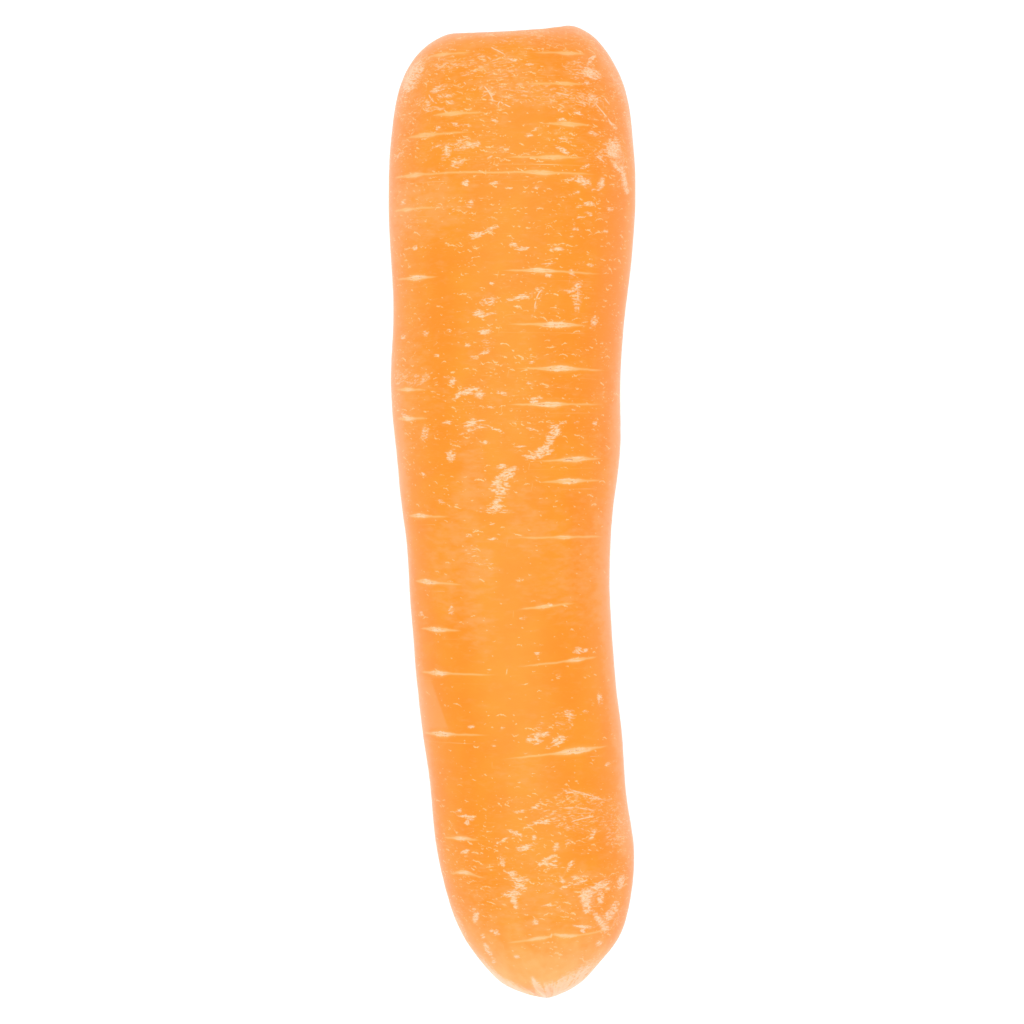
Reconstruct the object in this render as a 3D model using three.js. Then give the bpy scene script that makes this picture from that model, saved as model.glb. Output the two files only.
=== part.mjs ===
// A blunt-tipped carrot root, washed and with its leaf stalks trimmed off, lying on its side.
// Millimetres. The crown points along +Y, the tip along -Y, and the root lies on the plane z = 0.

import * as THREE from 'three';
import { LoftGeometry } from 'three/addons/geometries/LoftGeometry.js';

// ---- Driving dimensions ----------------------------------------------------------------------

const HEIGHT_TO_WIDTH = 0.94; // every cross-section is a slightly flat oval

// The root from the crown's rim to the tip. Each station has the two edges of the root seen from
// above, as [x, y], and the height of its middle above the surface that it lies on.
const STATIONS = [
  { left: [-9.9, 78.45], right: [9.5, 79.85], middle: 18.5 },
  { left: [-13.1, 77.2], right: [13.15, 78.3], middle: 18.5 },
  { left: [-16.3, 74.1], right: [16.45, 74.4], middle: 18.5 },
  { left: [-18.75, 68.5], right: [18.8, 68.7], middle: 18.5 },
  { left: [-20.1, 57], right: [20.2, 57], middle: 18.5 },
  { left: [-19.95, 45], right: [19.9, 45], middle: 18.3 },
  { left: [-19.4, 34], right: [18.8, 34], middle: 17.9 },
  { left: [-19.8, 22], right: [17.8, 22], middle: 17.8 },
  { left: [-19, 10], right: [17.85, 11.4], middle: 17.7 },
  { left: [-17.35, -5], right: [16.15, -5], middle: 16.5 },
  { left: [-15.95, -24], right: [16.75, -24], middle: 15.7 },
  { left: [-14.6, -37], right: [18.2, -37], middle: 15.1 },
  { left: [-13.4, -45.5], right: [18.9, -46], middle: 14.7 },
  { left: [-12.5, -54.5], right: [20.1, -55], middle: 14.7 },
  { left: [-10.4, -64.1], right: [19.5, -64.1], middle: 14.4 },
  { left: [-8, -69.7], right: [17.85, -69.7], middle: 14.2 },
  { left: [-4.85, -74.2], right: [14.6, -74.1], middle: 14 },
  { left: [-1.6, -77.6], right: [11.4, -77.6], middle: 13.8 },
  { left: [2.3, -79.4], right: [8.4, -79.35], middle: 13.7 },
  { left: [5, -80.05], right: [6.4, -80.05], middle: 13.6 },
];

// The crown inside its rim, from the middle outwards: a low stub left by the leaf stalks, standing
// in a dish. Each step has its radius as a share of the rim's, and its depth below the rim.
const CROWN = [
  { share: 0.06, depth: 1.2 },
  { share: 0.34, depth: 1.4 },
  { share: 0.5, depth: 1.9 },
  { share: 0.58, depth: 3 },
  { share: 0.7, depth: 3 },
  { share: 0.86, depth: 1.1 },
];

const RIM_DIP = 1.2; // the rim is lower on its upper and under sides than at its left and right
const RIM_DIP_SPANS = 2; // stations on each side of the rim over which the dip fades
const BEDDING = 0.2; // half the height over which the belly turns flat where it lies

const RINGS_PER_SPAN = 3;
const SIDES = 48;

// ---- Shape -----------------------------------------------------------------------------------

// The crown's rim, drawn in towards its middle and sunk to each depth of the dish and stub.
function crownStations(rim) {
  const middleX = (rim.left[0] + rim.right[0]) / 2;
  const middleY = (rim.left[1] + rim.right[1]) / 2;
  const drawnIn = ([x, y], share, depth) => [
    middleX + (x - middleX) * share,
    middleY + (y - middleY) * share - depth,
  ];
  return CROWN.map(({ share, depth }) => ({
    left: drawnIn(rim.left, share, depth),
    right: drawnIn(rim.right, share, depth),
    middle: rim.middle,
  }));
}

// A smooth curve along one edge of the root, through every station.
function edgeCurve(stations, side) {
  const points = stations.map((station) => new THREE.Vector3(...station[side], station.middle));
  return new THREE.CatmullRomCurve3(points, false, 'centripetal');
}

// Heights below the surface it lies on become flat, with a soft turn at the edge of the flat.
function bedded(z) {
  if (z <= -BEDDING) return 0;
  if (z >= BEDDING) return z;
  return (z + BEDDING) ** 2 / (4 * BEDDING);
}

// One oval ring from its left edge to its right edge, counterclockwise seen from the tip.
function ovalRing(left, right, dip) {
  const centre = left.clone().add(right).multiplyScalar(0.5);
  const reach = right.clone().sub(centre);
  const halfHeight = reach.length() * HEIGHT_TO_WIDTH;
  return Array.from({ length: SIDES }, (_, side) => {
    const turn = (side / SIDES) * 2 * Math.PI;
    const point = centre.clone().addScaledVector(reach, Math.cos(turn));
    point.y -= dip * Math.sin(turn) ** 2;
    point.z = bedded(point.z + halfHeight * Math.sin(turn));
    return point;
  });
}

function rootRings() {
  const crown = crownStations(STATIONS[0]);
  const stations = [...crown, ...STATIONS];
  const left = edgeCurve(stations, 'left');
  const right = edgeCurve(stations, 'right');
  const spans = stations.length - 1;
  const ringCount = spans * RINGS_PER_SPAN + 1;
  return Array.from({ length: ringCount }, (_, ring) => {
    const t = ring / (ringCount - 1);
    const spansFromRim = Math.abs(t * spans - crown.length);
    const dip = RIM_DIP * Math.max(0, 1 - spansFromRim / RIM_DIP_SPANS);
    return ovalRing(left.getPoint(t), right.getPoint(t), dip);
  });
}

// The root's length and width are centred on the origin, so that it stands on the middle of its box.
function rootGeometry() {
  const geometry = new LoftGeometry(rootRings(), { capStart: true, capEnd: true });
  geometry.computeBoundingBox();
  const centre = geometry.boundingBox.getCenter(new THREE.Vector3());
  return geometry.translate(-centre.x, -centre.y, 0);
}

const skin = new THREE.MeshStandardMaterial({ color: 0xfea144, roughness: 0.5, metalness: 0 });

const root = new THREE.Mesh(rootGeometry(), skin);
root.name = 'carrot_root';

const carrot = new THREE.Group();
carrot.add(root);

export default carrot;
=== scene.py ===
"""A washed carrot root lying on a pale floor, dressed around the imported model.

The root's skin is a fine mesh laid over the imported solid. It carries the low relief that the solid
leaves out, such as root scars, the cut stalks in the crown and the furrows at the tip, and marks
on its corners that say where those are, which the skin's material reads.
"""

import math

import bmesh
import bpy
import numpy as np
from bpy.props import FloatProperty, FloatVectorProperty, IntProperty, PointerProperty
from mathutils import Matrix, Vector, noise


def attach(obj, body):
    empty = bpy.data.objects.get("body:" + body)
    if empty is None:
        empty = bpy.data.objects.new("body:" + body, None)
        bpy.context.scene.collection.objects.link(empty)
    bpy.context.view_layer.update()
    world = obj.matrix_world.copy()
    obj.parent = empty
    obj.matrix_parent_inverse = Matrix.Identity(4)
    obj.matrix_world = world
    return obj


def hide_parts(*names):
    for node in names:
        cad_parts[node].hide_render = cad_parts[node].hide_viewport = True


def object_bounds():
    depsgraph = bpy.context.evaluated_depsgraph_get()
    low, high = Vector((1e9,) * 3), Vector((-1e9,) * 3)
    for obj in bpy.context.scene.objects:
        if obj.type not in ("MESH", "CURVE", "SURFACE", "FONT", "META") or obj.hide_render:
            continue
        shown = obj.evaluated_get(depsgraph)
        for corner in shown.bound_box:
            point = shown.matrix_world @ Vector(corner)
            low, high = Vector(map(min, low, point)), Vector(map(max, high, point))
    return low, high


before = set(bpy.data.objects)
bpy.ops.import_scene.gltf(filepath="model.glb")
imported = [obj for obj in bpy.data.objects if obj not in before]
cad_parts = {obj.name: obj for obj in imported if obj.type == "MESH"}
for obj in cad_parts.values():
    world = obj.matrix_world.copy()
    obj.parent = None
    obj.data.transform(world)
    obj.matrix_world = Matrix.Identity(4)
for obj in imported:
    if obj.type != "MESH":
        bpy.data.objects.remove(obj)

bl_info = {
    "name": "Carrot",
    "version": (1, 0, 0),
    "blender": (4, 5, 0),
    "location": "3D View > Sidebar > Carrot",
    "description": "Lays a detailed skin over the packed carrot root and sets up its studio",
    "category": "Mesh",
}

SOLID_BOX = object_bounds()
NODE = "carrot_root"
MM = 0.001
MERGE = 1e-7  # metres; corners closer than this are one corner
FAR = 9.0  # a distance, in any measure used here, that no mark reaches
SEED = 11  # of all that is random, which lies on the underside
FLANK_START = 15 * MM  # over the skin from the crown's middle to the flank, past the rim


# ---- Sizes and colours that a user would change ------------------------------------------------


class RootSizes(bpy.types.PropertyGroup):
    """Sizes of the skin's mesh and of its low relief."""

    sides: IntProperty(
        name="Sides", description="Corners round the root", default=192, min=24, max=240
    )
    rows: IntProperty(
        name="Rows", description="Rows of faces from the crown to the tip", default=500, min=80, max=900
    )
    scar_depth: FloatProperty(
        name="Scar Depth",
        description="How deep the crease of a root scar is",
        default=0.16 * MM,
        unit="LENGTH",
    )
    lump_height: FloatProperty(
        name="Lump Height",
        description="How far the skin's slow lumps rise and sink",
        default=0.16 * MM,
        unit="LENGTH",
    )
    ripple_height: FloatProperty(
        name="Ripple Height",
        description="How far the fine ripples across the root rise and sink",
        default=0.03 * MM,
        unit="LENGTH",
    )


def tint(name, description, colour):
    """A colour property, given in linear RGB."""
    return FloatVectorProperty(
        name=name, description=description, default=colour, subtype="COLOR", min=0, max=1
    )


class SkinColours(bpy.types.PropertyGroup):
    """Colours of the skin, in linear RGB."""

    flesh: tint("Flesh", "The orange of most of the skin", (0.96, 0.300, 0.012))
    deep: tint("Deep Flesh", "The redder orange of the skin's darker patches", (0.96, 0.260, 0.006))
    # Painted sheen as well as dull skin: this paler orange also lies in strips down both flanks, as a
    # veil like glancing light on the edges
    haze_and_edge_sheen: tint("Haze", "The paler orange of the skin's dull patches", (0.97, 0.365, 0.10))
    scar: tint("Scar", "The yellow cream of the root scars", (0.96, 0.52, 0.17))
    scuff: tint("Scuff", "The pink cream of dry scuffed skin", (0.97, 0.66, 0.43))
    crack: tint("Crack", "The brown of the dry cracks in the scars", (0.52, 0.17, 0.04))
    tip: tint("Tip", "The pale peach of the tip", (0.98, 0.55, 0.20))
    stalk: tint("Stalk", "The straw of the cut leaf stalks", (0.52, 0.37, 0.14))
    # Painted shade as well: this brown darkens the sunken gaps between the cut stalks; on the tail it is
    # the scar's own brown
    husk_and_gap_shade: tint("Husk", "The brown between the cut stalks and on the tail", (0.25, 0.12, 0.035))


class StudioSizes(bpy.types.PropertyGroup):
    """The camera, floor and lights."""

    lens: FloatProperty(
        name="Lens", description="Focal length of the camera", default=150, unit="CAMERA"
    )
    aim: FloatProperty(
        name="Aim",
        description="How far the camera looks past the root's middle, towards the crown",
        default=0.25 * MM,
        unit="LENGTH",
    )
    field: FloatProperty(
        name="Field",
        description="How wide the camera sees at the height of the root's middle",
        default=168.0 * MM,
        unit="LENGTH",
    )
    floor_width: FloatProperty(
        name="Floor Width", description="Width of the pale floor", default=6.0, unit="LENGTH"
    )
    floor_light: FloatProperty(
        name="Floor Light", description="How brightly the pale floor is lit from below", default=0.82
    )
    sky_light: FloatProperty(
        name="Sky Light", description="Strength of the even white light from all round", default=0.68
    )
    softbox_power: FloatProperty(
        name="Softbox Power", description="Power of the large light overhead", default=14.5, unit="POWER"
    )


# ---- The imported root, read back as rings -------------------------------------------------------


def in_order(ring):
    """Where a ring's corners are, in order round it from the one on its +X side."""
    places = np.array([corner.co[:] for corner in ring])
    middle = places.mean(axis=0)
    half_step = math.pi / len(places)
    turn = np.arctan2(places[:, 2] - middle[2], places[:, 0] - middle[0])
    return places[np.argsort((turn + half_step) % math.tau)]


def solid_rings(node):
    """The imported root's corners, ring by ring from the crown to the tip.

    The tip ends in a small level ring, and each ring is one edge away from the last.
    """
    solid = bmesh.new()
    solid.from_mesh(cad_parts[node].data)
    bmesh.ops.remove_doubles(solid, verts=solid.verts, dist=MERGE)
    tip = min(corner.co.y for corner in solid.verts)
    ring = {corner for corner in solid.verts if corner.co.y < tip + MERGE}
    seen = set(ring)
    rings = []
    while ring:
        rings.append(in_order(ring))
        ring = {edge.other_vert(corner) for corner in ring for edge in corner.link_edges} - seen
        seen |= ring
    solid.free()
    return np.array(rings[::-1])


def smooth_between(rows, places, closed=False):
    """Rows at fractional places among the given ones, on smooth curves through them."""
    count = len(rows)
    last_start = count - 1 if closed else count - 2
    start = np.floor(places).astype(int).clip(0, last_start)
    t = (places - start).reshape(-1, *[1] * (rows.ndim - 1))

    def at(offset):
        index = start + offset
        return rows[index % count if closed else index.clip(0, count - 1)]

    before, here, there, beyond = at(-1), at(0), at(1), at(2)
    return 0.5 * (
        2 * here
        + (there - before) * t
        + (2 * before - 5 * here + 4 * there - beyond) * t**2
        + (3 * here - before - 3 * there + beyond) * t**3
    )


class Surface:
    """The root's smooth surface as a grid: rows from the crown's middle to the tip, and sides.

    Each row but the first and last is a ring round the root, and those two are single points.
    """

    def __init__(self, node, sides, rows):
        rings = solid_rings(node)
        corners = rings.shape[1]
        rings = np.swapaxes(rings, 0, 1)
        rings = smooth_between(rings, np.arange(sides) / sides * corners, closed=True)
        rings = np.swapaxes(rings, 0, 1)
        ends = [np.repeat(rings[end].mean(axis=0)[None], sides, axis=0)[None] for end in (0, -1)]
        rings = np.concatenate([ends[0], rings, ends[1]])
        steps = np.linalg.norm(np.diff(rings, axis=0), axis=2).mean(axis=1)
        travelled = np.concatenate([[0], np.cumsum(steps)])
        self.length = travelled[-1]
        wanted = np.linspace(0, self.length, rows + 1)
        self.places = smooth_between(rings, np.interp(wanted, travelled, np.arange(len(rings))))
        self.turn = np.broadcast_to(np.arange(sides) / sides * math.tau, (rows + 1, sides))
        self.from_crown = np.broadcast_to(wanted[:, None], (rows + 1, sides))
        self.from_tip = self.length - self.from_crown
        self.middle = self.places.mean(axis=1)
        self.reach = (self.places[:, 0, 0] - self.places[:, sides // 2, 0]) / 2

    def ways_round(self):
        """The direction round the root at each corner."""
        ways = np.roll(self.places, -1, axis=1) - np.roll(self.places, 1, axis=1)
        ways[0], ways[-1] = ways[1], ways[-2]
        return ways / np.linalg.norm(ways, axis=2, keepdims=True)

    def normals(self):
        """Outward normals. The two end points take the mean of the ring beside them."""
        normals = np.cross(self.ways_round(), np.gradient(self.places, axis=0))
        normals[0] = normals[1].mean(axis=0)
        normals[-1] = normals[-2].mean(axis=0)
        return normals / np.linalg.norm(normals, axis=2, keepdims=True)

    def row_at(self, y):
        """The row on the root's flank that is nearest to this distance along it."""
        flank = self.from_crown[:, 0] > FLANK_START
        distance = np.where(flank, np.abs(self.middle[:, 1] - y), np.inf)
        return int(distance.argmin())

    def turn_at(self, x, y):
        """How far round the upper side a point seen from above at x, y lies."""
        row = self.row_at(y)
        share = (x - self.middle[row, 0]) / self.reach[row]
        return math.acos(min(1, max(-1, share)))


def smooth_step(low, high, values):
    """0 below low, 1 above high and an even curve between, or falling where low is above high."""
    share = ((values - low) / (high - low)).clip(0, 1)
    return share * share * (3 - 2 * share)


def to_half_turns(turn):
    """The same turn in radians, brought to half a turn either way."""
    return (turn + math.pi) % math.tau - math.pi


def noise_over(places, size, seed):
    """Smooth noise about 0 over the surface, with lumps of these sizes along X, Y and Z."""
    scaled = places.reshape(-1, 3) / np.array(size) + seed
    values = [noise.noise(Vector(point)) for point in scaled.tolist()]
    return np.array(values).reshape(places.shape[:2])


# ---- Root scars ------------------------------------------------------------------------------

# The scars that side roots left on the upper side, in mm and degrees, seen from above: where each
# starts, is widest and ends across the root, its distance along the root, its tilt, its width
# against a common one, and how far it arches towards the crown in its middle. A tilt above 0 lifts
# its right end towards the crown.
UPPER_SCARS = (
    (-14.2, -11.5, -6.0, 74.1, 1, 0.7, 0.1),
    (2.5, 9.0, 12.2, 74.2, 2, 0.8, 0.0),
    (1.5, 8.5, 12.0, 69.0, 2, 0.7, 0.0),
    (-13.0, -9.5, -3.5, 64.1, 1, 0.9, 0.0),
    (4.5, 9.0, 13.3, 62.4, 0, 1.0, 0.0),
    (-17.3, -14.0, -5.5, 60.9, 1, 1.0, 0.0),
    (-2.0, 6.5, 12.0, 57.0, 1, 1.0, 0.0),
    (-19.4, -16.0, 5.0, 54.6, 0, 1.0, 0.0),
    (-9.0, 4.5, 14.0, 54.5, 0, 1.0, 0.0),
    (-19.3, -17.0, -11.0, 49.2, 0, 0.7, 0.0),
    (-2.0, 4.5, 15.0, 38.8, -1, 1.0, 0.1),
    (-19.0, -15.5, -11.5, 38.1, 0, 1.1, 0.0),
    (-1.5, 7.2, 12.5, 30.3, 0, 1.4, 0.0),
    (0.2, 7.8, 15.5, 23.2, 0, 1.4, 0.1),
    (-19.0, -17.0, -13.5, 20.1, -3, 0.8, 0.0),
    (-1.3, 6.0, 15.0, 17.5, 1, 1.2, 0.0),
    (-18.8, -16.8, -13.0, 15.4, -1, 0.9, 0.0),
    (3.2, 10.2, 14.9, 8.7, 3, 1.3, 0.0),
    (3.8, 9.3, 15.0, 5.2, 2, 1.2, 0.0),
    (-17.0, -15.0, -9.5, -0.4, -2, 1.0, 0.0),
    (0.0, 8.5, 15.0, -3.8, 1, 0.7, 0.0),
    (-16.0, -13.8, -7.0, -11.1, -4, 1.1, 0.0),
    (0.6, 5.2, 10.8, -15.0, 6, 0.65, 0.0),
    (-15.2, -12.2, -7.8, -18.8, -2, 1.1, 0.0),
    (0.0, 10.5, 14.3, -23.7, 6, 0.85, 0.0),
    (-15.0, -12.0, -1.5, -25.9, -1, 1.1, 0.0),
    (-14.6, -11.6, -3.0, -35.9, 1, 1.3, 0.0),
    (-2.4, 10.4, 16.0, -38.4, 6, 1.6, 0.0),
    (-11.5, -8.3, -5.0, -52.9, 0, 0.9, 0.1),
    (-10.3, -7.8, -3.8, -58.9, -2, 0.9, 0.5),
    (-1.5, 4.2, 7.2, -68.95, 10, 0.75, 0.0),
    (6.0, 8.8, 17.0, -68.2, 2, 0.85, -0.4),
)

# The other two rows of scars, on the underside: how far round each row is, in degrees.
UNDER_ROWS = (-48, -128)
UNDER_SPAN = (-72, 74)  # mm along the root, over which the underside has its marks
SCAR_HALF_THICK = 0.4  # mm, of a scar of the common width at its middle
BELLY = 3.2  # mm to either side of a scar's widest place over which it is thick
SCAR_ZONE = (1.1, 1.5)  # mm to either side, from where to where a scar's marks fade out
SCAR_TO_ARCH = 1.6  # how many times as long as its arch a scar is


class Scar:
    """One root scar: where it lies round and along the root, and its shape."""

    def __init__(self, start, widest, end, y, tilt, width, arch):
        self.start, self.widest, self.end = start, widest, end  # radians round the root
        self.y = y * MM
        self.slope = math.tan(math.radians(tilt))
        self.width = width
        self.arch = arch * MM

    def along(self, surface):
        """-1 at the scar's start, 0 where it is widest and 1 at its end."""
        turned = to_half_turns(surface.turn - self.widest)
        left = turned / (self.start - self.widest)
        right = turned / (self.end - self.widest)
        return np.where(left > 0, -left, right)

    def reach(self, surface):
        """Metres round the root from where the scar is widest."""
        return to_half_turns(surface.turn - self.widest) * surface.reach[surface.row_at(self.y)]

    def across(self, surface, along):
        """Metres from the scar's line, towards the crown."""
        row = surface.row_at(self.y)
        widest_x = surface.middle[row, 0] + surface.reach[row] * math.cos(self.widest)
        line = self.y + self.slope * (surface.places[..., 0] - widest_x)
        line = line + self.arch * (1 - (along * SCAR_TO_ARCH).clip(-1, 1) ** 2)
        return surface.places[..., 1] - line


def upper_scars(surface):
    """The scars of the upper side, with their places turned into angles round the root."""
    for start, widest, end, y, tilt, width, arch in UPPER_SCARS:
        turns = [surface.turn_at(x * MM, y * MM) for x in (start, widest, end)]
        yield Scar(*turns, y, tilt, width, arch)


def under_scars(rng):
    """Scars on the underside, spaced and sized like those above."""
    for row in UNDER_ROWS:
        y = UNDER_SPAN[1] - rng.uniform(0, 6)
        while y > UNDER_SPAN[0]:
            widest = math.radians(row + rng.uniform(-9, 9))
            reaches = rng.uniform(0.18, 0.5, 2)  # radians to either side of its widest place
            tilt = rng.uniform(-4, 4)
            width = rng.uniform(0.7, 1.2)
            arch = rng.uniform(0, 0.3)
            yield Scar(widest + reaches[0], widest, widest - reaches[1], y, tilt, width, arch)
            y -= rng.uniform(5, 13)


def scar_outline(along, across, reach, width):
    """1 on a scar's line and 0 past its edge, which tapers to both ends."""
    belly = (1 - (reach / (BELLY * MM * width)) ** 2).clip(0, 1) ** 2
    half = SCAR_HALF_THICK * MM * width * (0.35 + 0.65 * belly) + 0.08 * MM
    depth = (0.45 + 0.55 * belly) * (1 - np.abs(along)).clip(0, 1) ** 0.5
    return np.exp(-((across / half) ** 2)) * depth


def take_marks(marks, taken, values):
    """Gives the corners that a mask names these values of their marks."""
    for name, value in values.items():
        marks[name] = np.where(taken, value, marks[name])


def mark_scars(surface, scars):
    """Each corner's place on the nearest scar, for the material, and the scars' relief, 0 to 1."""
    shape = surface.turn.shape
    marks = {
        "scar_along": np.ones(shape),
        "scar_reach": np.full(shape, FAR),
        "scar_across": np.full(shape, SCAR_ZONE[1]),
        "scar_width": np.ones(shape),
        "scar_near": np.zeros(shape),
    }
    hold = np.zeros(shape)
    crease = np.zeros(shape)
    for scar in scars:
        along = scar.along(surface)
        reach = scar.reach(surface)
        across = scar.across(surface, along)
        inside = (np.abs(across) < SCAR_ZONE[1] * MM) & (np.abs(along) < 1.1)
        near = smooth_step(SCAR_ZONE[1], SCAR_ZONE[0], np.abs(across) / MM)
        pull = near * (1.2 - np.abs(along))
        taken = inside & (pull > hold)
        hold = np.where(taken, pull, hold)
        place = {
            "scar_along": along,
            "scar_reach": reach / MM,
            "scar_across": across / MM,
            "scar_width": scar.width,
            "scar_near": near,
        }
        take_marks(marks, taken, place)
        outline = scar_outline(along, across, reach, scar.width)
        crease = np.maximum(crease, np.where(inside, outline, 0))
    return marks, crease


# ---- Scratches -------------------------------------------------------------------------------

# Thin scratches on the upper side, in mm, seen from above: where each starts and ends, and how far
# it bows to the left of the way from its start to its end.
UPPER_SCRATCHES = (
    (-13.4, 67.6, -12.0, 65.9, -0.25),
    (-13.9, 65.6, -10.8, 65.2, 0.3),
    (-4.5, 68.5, -3.0, 66.0, 0.15),
    (-7.75, 69.2, -7.4, 68.8, 0.0),
    (-3.4, 75.0, -1.2, 73.7, 0.0),
    (-1.9, 65.9, -0.2, 65.0, -0.1),
    (12.0, 67.4, 16.6, 62.4, 0.15),
    (10.3, 37.0, 10.6, 34.2, 0.1),
    (10.6, 35.8, 10.8, 32.6, -0.1),
    (10.9, 34.6, 11.0, 32.2, 0.0),
    (10.2, 66.9, 12.0, 65.6, -0.1),
    (12.3, 73.3, 13.6, 74.3, 0.1),
    (15.0, 67.2, 15.8, 66.1, 0.0),
    (13.5, 57.5, 14.9, 56.6, 0.0),
    (6.9, 67.4, 9.8, 66.8, 0.15),
    (4.9, 36.0, 3.7, 32.6, -0.4),
    (9.4, -44.7, 14.9, -46.6, 0.1),
    (8.2, -47.6, 13.6, -48.3, 0.25),
    (9.5, -49.9, 13.9, -49.2, 0.2),
    (8.6, -77.0, 13.2, -73.9, -0.2),
    (7.2, -76.6, 9.8, -75.2, 0.0),
    (9.9, -78.1, 13.2, -75.7, 0.1),
)
SCRATCH_ZONE = (0.7, 1.1)  # mm to either side, from where to where a scratch's marks fade out
SCRATCH_START = 10 * MM  # over the skin from the crown's middle; scratches lie outside the rim


def mark_scratches(surface):
    """Each corner's place beside the nearest scratch on the upper side."""
    shape = surface.turn.shape
    marks = {
        "scratch_along": np.full(shape, 2.0),
        "scratch_across": np.full(shape, SCRATCH_ZONE[1]),
        "scratch_near": np.zeros(shape),
    }
    right = surface.places[..., 0] / MM
    up = surface.places[..., 1] / MM
    upper = (surface.turn < math.pi) & (surface.from_crown > SCRATCH_START)
    for start_x, start_y, end_x, end_y, bow in UPPER_SCRATCHES:
        length = math.hypot(end_x - start_x, end_y - start_y)
        way_x, way_y = (end_x - start_x) / length, (end_y - start_y) / length
        along = ((right - start_x) * way_x + (up - start_y) * way_y) / length * 2 - 1
        across = (up - start_y) * way_x - (right - start_x) * way_y - bow * (1 - along**2)
        near = smooth_step(SCRATCH_ZONE[1], SCRATCH_ZONE[0], np.abs(across))
        inside = upper & (np.abs(along) < 1 + 2 / length)  # up to 1 mm past both ends
        taken = inside & (near > marks["scratch_near"])
        place = {"scratch_along": along, "scratch_across": across, "scratch_near": near}
        take_marks(marks, taken, place)
    return marks


# ---- Scuffs ----------------------------------------------------------------------------------

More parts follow.
